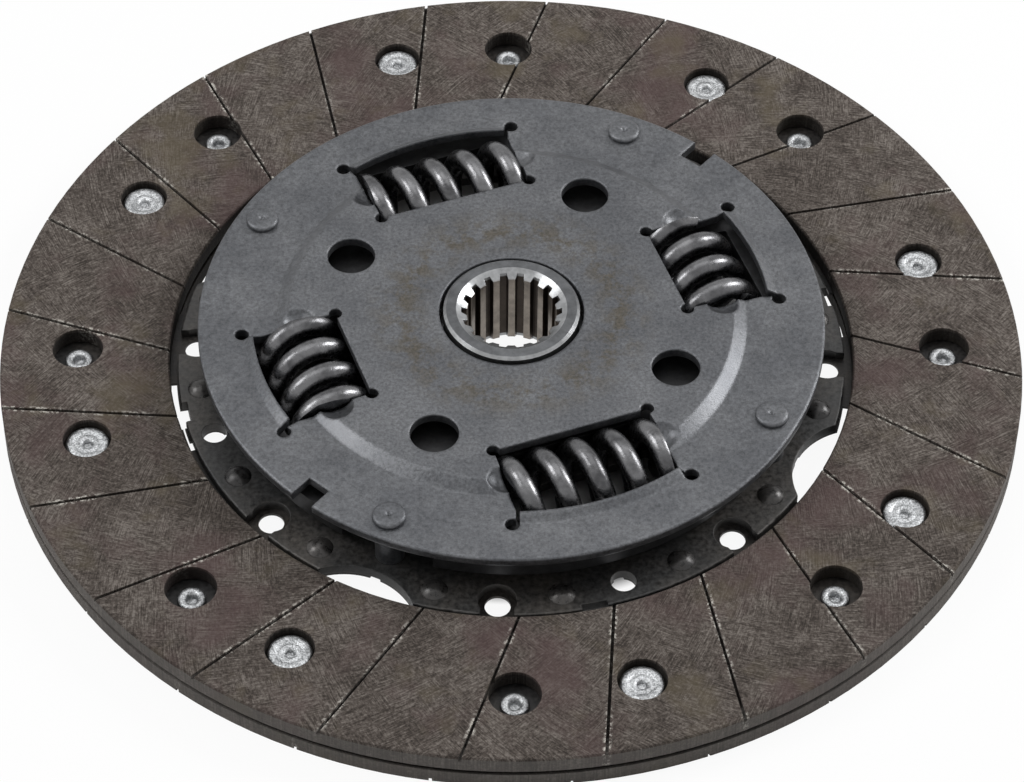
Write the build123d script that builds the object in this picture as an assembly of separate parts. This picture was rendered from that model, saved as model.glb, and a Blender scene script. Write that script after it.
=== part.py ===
from build123d import *
from math import asin, cos, degrees, hypot, radians, sin, sqrt, tan
import os

# Clutch disc: a driven plate with two riveted friction facings, a waved spring carrier between
# them, and a splined hub that can twist a few degrees against four coil springs.
# Lengths are millimetres and angles are degrees, counted from +X towards +Y.
# The disc's axis is Z, and z = 0 is the friction face of the rear facing.

# Splined bore and hub
spline_count = 18
spline_minor_r = 8.7
spline_depth = 1.1
spline_gap_width = 1.7
spline_root_width = 1.3
hub_wall = 3.5
hub_edge_chamfer = 0.6
hub_front_proud = 0.9
hub_rear_proud = 2.3
bore_chamfer_width = 1.0
bore_chamfer_depth = 1.3

# Hub flange
flange_thickness = 4.6
flange_corner_r = 0.6
flange_beyond_pins = 1.8
twist_limit = 6.0

# Torsion springs
spring_circle_r = 39.9
spring_outer_r = 9.4
long_spring_length = 31.0
long_spring_wire = 4.2
long_spring_pitch = 6.9
long_spring_crest = 0.6
short_spring_length = 21.8
short_spring_wire = 4.3
short_spring_pitch = 6.6
first_short_spring_crest = -1.5
second_short_spring_crest = 2.7
short_spring_angle = 20.5
long_spring_angle = 110.5
spring_end_clearance = 0.1
spring_side_clearance = 0.3

# Drive plate and cover plate, two dished sheets that face each other
plate_thickness = 2.0
plate_gap = 8.7
plate_edge_round = 0.4
dish_height = 1.6
dish_run = 2.6
dish_beyond_springs = 3.3
cover_beyond_pins = 5.3
cover_bore_clearance = 0.8
drive_plate_beyond_pins = 9.8

# Spring windows in both plates, with their outer edges bent up as lips
window_side_clearance = 0.22
window_rim_clearance = 0.52
window_end_slant = 2.5
window_corner_notch_r = 1.3
lip_width = 1.9
lip_rise = 1.3
lip_slit_half_angle = 0.4
relief_hole_r = 1.4
relief_hole_beyond_lip = 0.2
relief_hole_beyond_corner = 1.15
dent_half_width = 3.6
dent_depth = 1.9
dent_below_top = 0.05

# Other details of the cover plate
inspection_hole_inside_springs = 5.15
inspection_hole_r = 4.7
rim_notch_angle = 50.35
rim_notch_width = 5.0
rim_notch_depth = 5.0

# Stop pins between the two plates
stop_pin_beyond_lip = 3.4
first_stop_pin_angle = 66.2
second_stop_pin_angle = 153.1
stop_pin_body_r = 2.8
stop_pin_shank_r = 2.0
stop_pin_head_r = 3.2
stop_pin_head_t = 1.0
stop_pin_tail_r = 3.2
stop_pin_tail_t = 0.9
stop_pin_dimple_r = 0.5
stop_pin_dimple_depth = 0.5
stop_clearance = 0.5

# Rim of the drive plate, where the cushion segments are riveted
segment_rivet_inside_rim = 4.3
segment_rivet_head_r = 2.6
segment_rivet_head_t = 1.2
segment_rivet_shank_r = 1.5
segment_rivet_tail_t = 0.9
rim_scallop_r = 3.7
rim_scallop_mouth = 6.4
rim_hole_inside_rim = 4.5
rim_hole_r = 2.45
lens_r = 14.0
lens_depth = 4.8
rim_nick_before_hole = 6.3
rim_nick_half_angle = 2.2
rim_nick_depth = 1.2

# Cushion segments, waved spring steel between the facings
segment_count = 8
segment_sheet = 0.6
cushion_gap = 1.0
segment_foot_angle = 43.0
segment_foot_end_gap = 1.0
segment_foot_inner_margin = 3.4
segment_foot_beyond_rim = 0.3
segment_foot_hole_inside_rim = 3.6
segment_foot_hole_r = 2.45
segment_gap = 1.5
segment_edge_offset = 25.5
segment_edge_angle = -6.2
segment_tip_margin = 1.5
segment_root_margin = 0.4
wide_neck_start = -26.5
wide_neck_end = 14.0
narrow_neck_half_angle = 8.0
wave_flat = 6.0

# Friction facings, two equal rings with slanted straight grooves
facing_beyond_rim = 1.5
facing_width = 33.0
facing_thickness = 3.5
facing_edge_chamfer = 0.3
# The grooves were cut with the ring a little off the cutter's centre
groove_count = 24
groove_width = 0.6
groove_depth = 1.0
groove_offset = 23.2
groove_angle = -2.9
groove_centre_x = -0.4
groove_centre_y = 1.4

# Facing rivets, and the holes that they sit in
facing_rivet_inset = 18.0
front_rivet_angle = 16.73
rear_rivet_angle = 0.8
facing_web = 1.35
facing_seat_r = 4.7
facing_access_r = 4.95
facing_rivet_head_r = 4.2
facing_rivet_head_t = 0.9
facing_rivet_dish_r = 2.4
facing_rivet_dish_depth = 0.35
facing_rivet_shank_r = 2.4
facing_rivet_tail_r = 2.85
facing_rivet_tail_t = 1.0
facing_rivet_clearance = 0.1
rivet_bore_r = 0.9

# Damping stack around the hub
hub_running_clearance = 0.05
face_clearance = 0.05
bush_wall = 3.05
bush_clearance = 0.1
bush_flange_width = 7.6
bush_flange_t = 1.6
friction_ring_clearance = 2.7
friction_ring_width = 10.0
friction_washer_clearance = 0.9
friction_washer_width = 12.8
friction_washer_t = 1.2
disc_spring_clearance = 3.2
disc_spring_width = 10.0
disc_spring_t = 0.9

# Cutting tools reach this far past the faces that they cut
past = 1.0


def spring_half_width(height):
    """Half the width that a spring's outline has at a height from its axis."""
    return sqrt(spring_outer_r**2 - height**2)


# Radii that follow, from the hub outwards
spline_major_r = spline_minor_r + spline_depth
hub_r = spline_major_r + hub_wall
bush_outer_r = hub_r + hub_running_clearance + bush_wall
window_inner_v = spring_circle_r - spring_half_width(plate_gap / 2 + dish_height) - window_side_clearance
spring_reach_v = spring_circle_r + spring_half_width(plate_gap / 2 + lip_rise)
window_outer_r = hypot(long_spring_length / 2, spring_reach_v) + window_rim_clearance
lip_fold_r = window_outer_r + lip_width
stop_pin_circle_r = lip_fold_r + stop_pin_beyond_lip
flange_outer_r = stop_pin_circle_r + flange_beyond_pins
cover_outer_r = stop_pin_circle_r + cover_beyond_pins
drive_plate_outer_r = stop_pin_circle_r + drive_plate_beyond_pins
segment_rivet_circle_r = drive_plate_outer_r - segment_rivet_inside_rim
segment_foot_inner_r = segment_rivet_circle_r - segment_foot_inner_margin
segment_foot_outer_r = drive_plate_outer_r + segment_foot_beyond_rim
segment_foot_hole_circle_r = drive_plate_outer_r - segment_foot_hole_inside_rim
facing_inner_r = drive_plate_outer_r + facing_beyond_rim
facing_outer_r = facing_inner_r + facing_width
facing_rivet_circle_r = facing_inner_r + facing_rivet_inset

# Angles that follow
segment_pitch = 360 / segment_count
long_spring_angles = (long_spring_angle, long_spring_angle + 180)
short_spring_angles = (short_spring_angle, short_spring_angle + 180)
springs = [(long_spring_length, angle) for angle in long_spring_angles]
springs += [(short_spring_length, angle) for angle in short_spring_angles]
stop_pin_angles = (
    first_stop_pin_angle,
    second_stop_pin_angle,
    first_stop_pin_angle + 180,
    second_stop_pin_angle + 180,
)

# Heights that follow, from the rear facing upwards
rear_back_z = facing_thickness
front_back_z = rear_back_z + cushion_gap
segment_mid_z = rear_back_z + cushion_gap / 2
segment_top_z = segment_mid_z + segment_sheet / 2
damper_mid_z = segment_top_z + plate_thickness + plate_gap / 2
cage_reach = plate_gap / 2 + dish_height


def disc(radius, bottom, top):
    """Round plate about the Z axis between two heights."""
    return Pos(0, 0, bottom) * extrude(Circle(radius), top - bottom)


def ring(inner_r, outer_r, bottom, top):
    """Flat ring about the Z axis between two heights."""
    return Pos(0, 0, bottom) * extrude(Circle(outer_r) - Circle(inner_r), top - bottom)


def turned(points):
    """Body turned about Z from (radius, height) points."""
    outline = Plane.XZ * make_face(Polyline(*points, close=True))
    return revolve(outline, Axis.Z)


def sector(inner_r, outer_r, start, end):
    """Flat ring sector between two radii and two angles."""
    inner_arc = CenterArc((0, 0), inner_r, start, end - start)
    outer_arc = CenterArc((0, 0), outer_r, start, end - start)
    first_side = Line(inner_arc @ 0, outer_arc @ 0)
    last_side = Line(inner_arc @ 1, outer_arc @ 1)
    return make_face([*inner_arc.edges(), *last_side.edges(), *outer_arc.edges(), *first_side.edges()])


def at(radius, angle):
    """Place on the disc at a radius and an angle, with local X pointing outwards."""
    return Rot(0, 0, angle) * Pos(radius, 0, 0)


def circle_of(count, first_angle):
    """Angles of equally spaced places around the disc."""
    return [first_angle + 360 * k / count for k in range(count)]


def facing():
    """One facing with its back at z = 0 and its grooved friction face up."""
    body = ring(facing_inner_r, facing_outer_r, 0, facing_thickness)
    body = chamfer(body.edges().filter_by(GeomType.CIRCLE).group_by(Axis.Z)[-1], facing_edge_chamfer)
    through = disc(facing_rivet_shank_r + facing_rivet_clearance, -past, facing_thickness + past)
    seat = disc(facing_seat_r, facing_web, facing_thickness + past)
    access = disc(facing_access_r, -past, facing_thickness + past)
    floor_z = facing_thickness - groove_depth
    lowest_corner = (Align.MIN, Align.CENTER, Align.MIN)
    groove = Box(facing_outer_r, groove_width, groove_depth + past, align=lowest_corner)
    groove = Pos(0, groove_offset, floor_z) * groove
    cuts = []
    for angle in circle_of(segment_count, front_rivet_angle):
        cuts.append(at(facing_rivet_circle_r, angle) * through)
        cuts.append(at(facing_rivet_circle_r, angle) * seat)
    for angle in circle_of(segment_count, rear_rivet_angle):
        cuts.append(at(facing_rivet_circle_r, angle) * access)
    for angle in circle_of(groove_count, groove_angle):
        cuts.append(Pos(groove_centre_x, groove_centre_y) * Rot(0, 0, angle) * groove)
    return body - cuts


def front_place():
    """Where the front facing and its rivets lie."""
    return Pos(0, 0, front_back_z)


def rear_place():
    """The rear facing is the front one turned over, and turned so that rivets meet access holes."""
    return Pos(0, 0, rear_back_z) * Rot(0, 0, front_rivet_angle + rear_rivet_angle) * Rot(180, 0, 0)


def facing_rivet():
    """Tubular facing rivet: a dished head on the facing's web and a rolled tail under the segment."""
    head_top = facing_web + facing_rivet_head_t
    tail_top = -segment_sheet
    tail_bottom = tail_top - facing_rivet_tail_t
    rivet = disc(facing_rivet_head_r, facing_web, head_top)
    rivet = fillet(rivet.edges().filter_by(GeomType.CIRCLE).group_by(Axis.Z)[-1], facing_rivet_head_t / 3)
    tail = disc(facing_rivet_tail_r, tail_bottom, tail_top)
    tail = fillet(tail.edges().filter_by(GeomType.CIRCLE).group_by(Axis.Z)[0], facing_rivet_tail_t / 2)
    rivet += tail
    rivet += disc(facing_rivet_shank_r, tail_top, facing_web)
    dish = Cone(
        rivet_bore_r,
        facing_rivet_dish_r,
        facing_rivet_dish_depth,
        align=(Align.CENTER, Align.CENTER, Align.MAX),
    )
    rivet -= Pos(0, 0, head_top) * dish
    rivet -= disc(rivet_bore_r, tail_bottom - past, head_top - 2 * facing_rivet_dish_depth)
    return rivet


def facing_rivets(place):
    """The rivets of one facing, one through each cushion segment."""
    rivet = facing_rivet()
    angles = circle_of(segment_count, front_rivet_angle)
    return [place * at(facing_rivet_circle_r, angle) * rivet for angle in angles]


def waved_sheet():
    """Sheet that rises to the front rivet and falls to the rear one, along the disc's edge."""
    swing = (cushion_gap - segment_sheet) / 2
    rivet_gap = segment_pitch - front_rivet_angle + rear_rivet_angle
    crest = facing_rivet_circle_r * sin(radians(rivet_gap / 2))
    reach = facing_outer_r * sin(radians(segment_pitch / 2)) + wave_flat
    stations = [
        (-reach, 0),
        (-crest - wave_flat, swing),
        (-crest + wave_flat, swing),
        (crest - wave_flat, -swing),
        (crest + wave_flat, -swing),
        (reach, 0),
    ]
    upper = [(t, segment_mid_z + rise + segment_sheet / 2) for t, rise in stations]
    lower = [(t, segment_mid_z + rise - segment_sheet / 2) for t, rise in reversed(stations)]
    profile = Plane.XZ * make_face(Polyline(*upper, *lower, close=True))
    sheet = extrude(profile, -facing_outer_r)
    # The sheet runs out along +Y, and it is mirrored so that its crest meets the front rivet
    return Rot(0, 0, front_rivet_angle + rivet_gap / 2 - 90) * mirror(sheet, Plane.YZ)


def paddle():
    """Outer part of the first segment, between the facings."""
    inner_r = facing_inner_r + segment_root_margin
    outer_r = facing_outer_r - segment_tip_margin
    plan = sector(inner_r, outer_r, segment_edge_angle, segment_edge_angle + 2 * segment_pitch)
    blank = extrude(plan, front_back_z)
    far_edge = (Align.CENTER, Align.MAX, Align.CENTER)
    blade = Box(2 * facing_outer_r, facing_outer_r, 4 * front_back_z, align=far_edge)
    near_side = Rot(0, 0, segment_edge_angle) * Pos(0, segment_edge_offset + segment_gap / 2, 0) * blade
    far_blade = mirror(blade, Plane.XZ)
    far_turn = Rot(0, 0, segment_edge_angle + segment_pitch)
    far_side = far_turn * Pos(0, segment_edge_offset - segment_gap / 2, 0) * far_blade
    return (blank - near_side - far_side) & waved_sheet()


def cushion_segment(index, blade):
    """One segment: a riveted foot under the drive plate, a neck, and a waved paddle."""
    middle = segment_foot_angle
    foot_half_angle = segment_pitch / 2 - segment_foot_end_gap
    foot_start = middle - foot_half_angle
    foot = sector(segment_foot_inner_r, segment_foot_outer_r, foot_start, middle + foot_half_angle)
    neck_from = middle - narrow_neck_half_angle
    neck_to = middle + narrow_neck_half_angle
    if index % 2 == 0:
        neck_from = middle + wide_neck_start
        neck_to = middle + wide_neck_end
    neck_inner_r = segment_foot_outer_r - segment_tip_margin
    neck_outer_r = facing_inner_r + segment_root_margin + segment_tip_margin
    neck = sector(neck_inner_r, neck_outer_r, neck_from, neck_to)
    # The wide neck reaches past its own foot, outside the end of its neighbour's
    neighbour_outer_r = segment_foot_outer_r + segment_root_margin
    neck -= sector(segment_foot_inner_r, neighbour_outer_r, foot_start - segment_pitch, foot_start)
    flat = extrude(foot + neck, segment_sheet)
    body = Pos(0, 0, segment_mid_z - segment_sheet / 2) * flat + blade
    return Rot(0, 0, index * segment_pitch) * body - segment_cuts() - rim_cuts()


def segment_cuts():
    """Holes through the segments: facing rivets, foot holes, foot rivets and stop pin tails."""
    shank = disc(facing_rivet_shank_r, 0, front_back_z)
    foot_hole = disc(segment_foot_hole_r, 0, front_back_z)
    foot_shank = disc(segment_rivet_shank_r, 0, front_back_z)
    pin_tail = disc(stop_pin_tail_r + stop_clearance, 0, front_back_z)
    cuts = []
    for start in (front_rivet_angle, rear_rivet_angle):
        for angle in circle_of(segment_count, start):
            cuts.append(at(facing_rivet_circle_r, angle) * shank)
    for angle in circle_of(segment_count, segment_foot_angle):
        cuts.append(at(segment_foot_hole_circle_r, angle) * foot_hole)
    for angle in segment_rivet_angles():
        cuts.append(at(segment_rivet_circle_r, angle) * foot_shank)
    for angle in stop_pin_angles:
        cuts.append(at(stop_pin_circle_r, angle) * pin_tail)
    return cuts


def segment_rivet_angles():
    """Two rivets for each foot, halfway from its middle to its ends."""
    return circle_of(2 * segment_count, segment_foot_angle - segment_pitch / 4)


def rim_cuts():
    """Openings through the drive plate's rim and the feet, by turns a hole and a wide lens."""
    hole = disc(rim_hole_r, 0, damper_mid_z)
    lens = disc(lens_r, 0, damper_mid_z)
    nick_floor_r = drive_plate_outer_r - rim_nick_depth
    nick = sector(nick_floor_r, facing_inner_r, -rim_nick_half_angle, rim_nick_half_angle)
    nick = extrude(nick, damper_mid_z)
    first_junction = segment_foot_angle - segment_pitch / 2
    pairs = segment_count // 2
    cuts = []
    for angle in circle_of(pairs, first_junction):
        cuts.append(at(drive_plate_outer_r - rim_hole_inside_rim, angle) * hole)
    for angle in circle_of(pairs, first_junction + segment_pitch):
        cuts.append(at(drive_plate_outer_r - lens_depth + lens_r, angle) * lens)
    for angle in circle_of(pairs, first_junction - rim_nick_before_hole):
        cuts.append(Rot(0, 0, angle) * nick)
    return cuts


def dished_plate(outer_r, bore_r):
    """Half of the spring cage, above the damper's middle plane, which is z = 0 here."""
    inner_z = plate_gap / 2
    dish_inner_r = spring_circle_r + dish_beyond_springs
    dish_outer_r = dish_inner_r + dish_run
    slope = sqrt(dish_height**2 + dish_run**2)
    # A sheet bent by this slope keeps its thickness when the inside corners move in by this much
    corner_shift = plate_thickness * (slope - dish_run) / dish_height
    body = turned(
        [
            (bore_r, inner_z + dish_height),
            (dish_inner_r - corner_shift, inner_z + dish_height),
            (dish_outer_r - corner_shift, inner_z),
            (outer_r, inner_z),
            (outer_r, inner_z + plate_thickness),
            (dish_outer_r, inner_z + plate_thickness),
            (dish_inner_r, inner_z + dish_height + plate_thickness),
            (bore_r, inner_z + dish_height + plate_thickness),
        ]
    )
    body = fillet(body.edges().filter_by(GeomType.CIRCLE).group_by(SortBy.RADIUS)[-1], plate_edge_round)
    # The dents' undersides only show below the sheet, so they are cut off just inside its upper face
    ceiling = inner_z + plate_thickness - dent_below_top
    under_sheet = turned(
        [
            (0, 0),
            (outer_r, 0),
            (outer_r, ceiling),
            (dish_outer_r, ceiling),
            (dish_inner_r, ceiling + dish_height),
            (0, ceiling + dish_height),
        ]
    )
    body += [dent & under_sheet for dent in window_end_dents(plate_thickness)]
    cuts = [window_cut(length, angle) for length, angle in springs]
    cuts += window_end_dents(0)
    shank = disc(stop_pin_shank_r, 0, plate_gap)
    for angle in stop_pin_angles:
        cuts.append(at(stop_pin_circle_r, angle) * shank)
    body -= cuts
    return body + [window_lip(length, angle) for length, angle in springs]


def window_half_length(length, distance):
    """Half a window's length at a distance from the disc's axis, because its ends slant open outwards."""
    inner_half = length / 2 + spring_end_clearance
    return inner_half + (distance - window_inner_v) * tan(radians(window_end_slant))


def window_corner_angle(length):
    """Angle from a window's middle to its outer corners."""
    half_at_axis = window_half_length(length, 0)
    return window_end_slant + degrees(asin(half_at_axis * cos(radians(window_end_slant)) / window_outer_r))


def window_end_dents(sheet):
    """Round dents that lower each window's ends onto the spring, grown by a sheet's thickness below."""
    top = cage_reach + plate_thickness
    dent_r = (dent_half_width**2 + dent_depth**2) / (2 * dent_depth)
    ball = Pos(0, 0, top + dent_r - dent_depth) * Sphere(dent_r + sheet)
    if sheet:
        ball = ball & disc(2 * dent_r, 0, top)
    dents = []
    for length, angle in springs:
        along = window_half_length(length, spring_circle_r)
        for side in (-1, 1):
            dents.append(Rot(0, 0, angle) * Pos(spring_circle_r, side * along, 0) * ball)
    return dents


def window_cut(length, angle):
    """Tool for one spring window with its slits, relief holes and inner corner notches."""
    tool_height = 2 * plate_gap
    half = window_half_length(length, window_inner_v)
    outer_half = window_half_length(length, lip_fold_r)
    corner = window_corner_angle(length)
    slit = corner + lip_slit_half_angle
    window = make_face(
        Polyline(
            (window_inner_v, -half),
            (lip_fold_r, -outer_half),
            (lip_fold_r, outer_half),
            (window_inner_v, half),
            close=True,
        )
    )
    plan = window & Circle(window_outer_r)
    plan += sector(window_outer_r - past, lip_fold_r, -slit, slit)
    for side in (-1, 1):
        relief = side * (corner + relief_hole_beyond_corner)
        plan += Rot(0, 0, relief) * Pos(lip_fold_r + relief_hole_beyond_lip, 0) * Circle(relief_hole_r)
        plan += Pos(window_inner_v, side * half) * Circle(window_corner_notch_r)
    return Rot(0, 0, angle) * extrude(plan, tool_height)


def window_lip(length, angle):
    """Outer edge of a window, bent away from the middle plane to clear the spring."""
    half_angle = window_corner_angle(length) - lip_slit_half_angle
    low = plate_gap / 2
    outline = Plane.XZ * make_face(
        Polyline(
            (lip_fold_r, low),
            (window_outer_r, low + lip_rise),
            (window_outer_r, low + lip_rise + plate_thickness),
            (lip_fold_r, low + plate_thickness),
            close=True,
        )
    )
    lip = revolve(outline, Axis.Z, 2 * half_angle)
    return Rot(0, 0, angle - half_angle) * lip


def cover_plate():
    """Front half of the spring cage."""
    top = cage_reach + plate_thickness
    body = dished_plate(cover_outer_r, hub_r + cover_bore_clearance)
    inspection_hole = disc(inspection_hole_r, 0, top + past)
    notch = Box(2 * rim_notch_depth, rim_notch_width, 2 * top)
    cuts = []
    for angle in circle_of(4, (short_spring_angle + long_spring_angle) / 2):
        cuts.append(at(spring_circle_r - inspection_hole_inside_springs, angle) * inspection_hole)
    for angle in circle_of(2, rim_notch_angle):
        cuts.append(at(cover_outer_r, angle) * notch)
    body -= cuts
    return Pos(0, 0, damper_mid_z) * body


def drive_plate():
    """Rear half of the spring cage, with the rim that carries the cushion segments."""
    body = dished_plate(drive_plate_outer_r, bush_outer_r + bush_clearance)
    body = Pos(0, 0, damper_mid_z) * mirror(body, Plane.XY)
    cuts = rim_cuts()
    inner_end = (Align.MIN, Align.CENTER, Align.MIN)
    mouth = Box(2 * rim_scallop_r, rim_scallop_mouth, damper_mid_z, align=inner_end)
    scallop = disc(rim_scallop_r, 0, damper_mid_z) + mouth
    shank = disc(segment_rivet_shank_r, 0, damper_mid_z)
    for angle in circle_of(segment_count, segment_foot_angle):
        cuts.append(at(segment_foot_hole_circle_r, angle) * scallop)
    for angle in segment_rivet_angles():
        cuts.append(at(segment_rivet_circle_r, angle) * shank)
    return body - cuts


def segment_rivets():
    """Domed rivets that hold the segments' feet under the drive plate."""
    head_z = segment_top_z + plate_thickness
    tail_top = segment_top_z - segment_sheet
    dome_r = (segment_rivet_head_r**2 + segment_rivet_head_t**2) / (2 * segment_rivet_head_t)
    dome = Pos(0, 0, head_z + segment_rivet_head_t - dome_r) * Sphere(dome_r)
    dome = dome & disc(segment_rivet_head_r, head_z, head_z + segment_rivet_head_t + past)
    rivet = dome + disc(segment_rivet_shank_r, tail_top, head_z)
    rivet += disc(segment_rivet_head_r, tail_top - segment_rivet_tail_t, tail_top)
    return [at(segment_rivet_circle_r, angle) * rivet for angle in segment_rivet_angles()]


def stop_pins():
    """Four shouldered pins that hold the two plates apart and stop the hub's twist."""
    low_face = damper_mid_z - plate_gap / 2
    high_face = damper_mid_z + plate_gap / 2
    tail_z = low_face - plate_thickness
    head_z = high_face + plate_thickness
    pin = disc(stop_pin_body_r, low_face, high_face)
    pin += disc(stop_pin_shank_r, tail_z, head_z)
    head = disc(stop_pin_head_r, head_z, head_z + stop_pin_head_t)
    pin += fillet(head.edges().filter_by(GeomType.CIRCLE).group_by(Axis.Z)[-1], stop_pin_head_t / 3)
    tail = disc(stop_pin_tail_r, tail_z - stop_pin_tail_t, tail_z)
    pin += fillet(tail.edges().filter_by(GeomType.CIRCLE).group_by(Axis.Z)[0], stop_pin_tail_t / 3)
    top = head_z + stop_pin_head_t
    pin -= disc(stop_pin_dimple_r, top - stop_pin_dimple_depth, top + past)
    return [at(stop_pin_circle_r, angle) * pin for angle in stop_pin_angles]


def hub():
    """Splined hub with the flange that drives the springs, in one piece."""
    bottom = damper_mid_z - cage_reach - plate_thickness - hub_rear_proud
    top = damper_mid_z + cage_reach + plate_thickness + hub_front_proud
    body = disc(hub_r, bottom, top)
    body = chamfer(body.edges().filter_by(GeomType.CIRCLE), hub_edge_chamfer)
    body += disc(flange_outer_r, damper_mid_z - flange_thickness / 2, damper_mid_z + flange_thickness / 2)
    cuts = [disc(spline_minor_r, bottom - past, top + past)]
    inner_r = spline_minor_r - past
    flare = (spline_gap_width - spline_root_width) / spline_depth
    inner_width = spline_gap_width + flare * past
    tooth_gap = make_face(
        Polyline(
            (inner_r, -inner_width / 2),
            (spline_major_r, -spline_root_width / 2),
            (spline_major_r, spline_root_width / 2),
            (inner_r, inner_width / 2),
            close=True,
        )
    )
    tooth_gap = Pos(0, 0, bottom - past) * extrude(tooth_gap, top - bottom + 2 * past)
    for angle in circle_of(spline_count, 0):
        cuts.append(Rot(0, 0, angle) * tooth_gap)
    bore_chamfer_r = spline_major_r + bore_chamfer_width
    depth = bore_chamfer_depth * (1 + past / (bore_chamfer_r - spline_minor_r))
    cone = Cone(inner_r, bore_chamfer_r, depth, align=(Align.CENTER, Align.CENTER, Align.MAX))
    cuts.append(Pos(0, 0, top) * cone)
    cuts.append(Pos(0, 0, bottom) * mirror(cone, Plane.XY))
    cuts += flange_windows()
    cuts += flange_notches()
    return body - cuts


def flange_windows():
    """Tools for the four straight-sided windows that the springs sit in."""
    inner_v = spring_circle_r - spring_outer_r - spring_side_clearance
    outer_v = spring_circle_r + spring_outer_r + spring_side_clearance
    tools = []
    for length, angle in springs:
        width = length + 2 * spring_end_clearance
        plan = Pos((inner_v + outer_v) / 2, 0) * RectangleRounded(outer_v - inner_v, width, flange_corner_r)
        tool = Pos(0, 0, damper_mid_z - flange_thickness) * extrude(plan, 2 * flange_thickness)
        tools.append(Rot(0, 0, angle) * tool)
    return tools


def flange_notches():
    """Tools for the open notches at the flange's rim, where the stop pins end the twist."""
    floor_r = stop_pin_circle_r - stop_pin_body_r - stop_clearance
    pin_half_angle = degrees(asin(stop_pin_body_r / stop_pin_circle_r))
    half_angle = twist_limit + pin_half_angle + degrees(stop_clearance / stop_pin_circle_r)
    plan = sector(floor_r, flange_outer_r + past, -half_angle, half_angle)
    tool = Pos(0, 0, damper_mid_z - flange_thickness) * extrude(plan, 2 * flange_thickness)
    return [Rot(0, 0, angle) * tool for angle in stop_pin_angles]


def coil_spring(length, wire, pitch, crest):
    """Right-handed coil spring with flat ground ends, lying across the +X radius."""
    coil_r = spring_outer_r - wire / 2
    helix_height = length + 2 * wire
    path = Pos(0, 0, -helix_height / 2) * Helix(pitch, helix_height, coil_r)
    # The coil is turned about itself until one of its crests faces the front at its place
    path = Rot(0, 0, -180 * helix_height / pitch - 360 * crest / pitch) * path
    start = Plane(origin=path @ 0, z_dir=path % 0)
    coil = sweep(start * Circle(wire / 2), path=path, is_frenet=True)
    coil = coil & disc(spring_outer_r + past, -length / 2, length / 2)
    seat = Plane(origin=(spring_circle_r, 0, damper_mid_z), x_dir=(0, 0, 1), z_dir=(0, 1, 0))
    return seat.location * coil


def guide_bush():
    """Plastic collar that centres the hub in the drive plate, with a flange inside the cage."""
    flange_z = damper_mid_z - cage_reach
    inner_r = hub_r + hub_running_clearance
    collar = ring(inner_r, bush_outer_r, flange_z - plate_thickness, flange_z + bush_flange_t)
    return collar + ring(inner_r, bush_outer_r + bush_flange_width, flange_z, flange_z + bush_flange_t)


def friction_ring():
    """Friction ring between the guide bush and the hub's flange."""
    bottom = damper_mid_z - cage_reach + bush_flange_t
    top = damper_mid_z - flange_thickness / 2 - face_clearance
    inner_r = hub_r + friction_ring_clearance
    return ring(inner_r, inner_r + friction_ring_width, bottom, top)


def friction_washer():
    """Friction washer on the front of the hub's flange."""
    bottom = damper_mid_z + flange_thickness / 2 + face_clearance
    inner_r = hub_r + friction_washer_clearance
    return ring(inner_r, inner_r + friction_washer_width, bottom, bottom + friction_washer_t)


def disc_spring():
    """Conical spring washer that presses the stack together under the cover plate."""
    bottom = damper_mid_z + flange_thickness / 2 + face_clearance + friction_washer_t
    top = damper_mid_z + cage_reach
    inner_r = hub_r + disc_spring_clearance
    outer_r = inner_r + disc_spring_width
    return turned(
        [
            (inner_r, bottom),
            (outer_r, top - disc_spring_t),
            (outer_r, top),
            (inner_r, bottom + disc_spring_t),
        ]
    )


def save(name, shape):
    """Write one node, as one solid or as a group of like solids."""
    if isinstance(shape, list):
        shape = Compound(children=[solid for piece in shape for solid in piece.solids()])
    export_step(shape, os.path.join("parts", name + ".step"))


os.makedirs("parts", exist_ok=True)
grooved_ring = facing()
save("front_facing", front_place() * grooved_ring)
save("rear_facing", rear_place() * grooved_ring)
save("front_facing_rivets", facing_rivets(front_place()))
save("rear_facing_rivets", facing_rivets(rear_place()))
waved_paddle = paddle()
for number in range(segment_count):
    save(f"cushion_segment_{number + 1}", cushion_segment(number, waved_paddle))
save("drive_plate", drive_plate())
save("segment_rivets", segment_rivets())
save("cover_plate", cover_plate())
save("stop_pins", stop_pins())
save("hub", hub())
long_spring = coil_spring(long_spring_length, long_spring_wire, long_spring_pitch, long_spring_crest)
for number, angle in enumerate(long_spring_angles):
    save(f"long_spring_{number + 1}", Rot(0, 0, angle) * long_spring)
short_spring_crests = (first_short_spring_crest, second_short_spring_crest)
for number, angle in enumerate(short_spring_angles):
    crest = short_spring_crests[number]
    short_spring = coil_spring(short_spring_length, short_spring_wire, short_spring_pitch, crest)
    save(f"short_spring_{number + 1}", Rot(0, 0, angle) * short_spring)
save("guide_bush", guide_bush())
save("friction_ring", friction_ring())
save("friction_washer", friction_washer())
save("disc_spring", disc_spring())
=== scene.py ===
from math import cos, floor, pi, radians, sin

import bpy
from mathutils import Matrix, Quaternion, Vector


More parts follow.
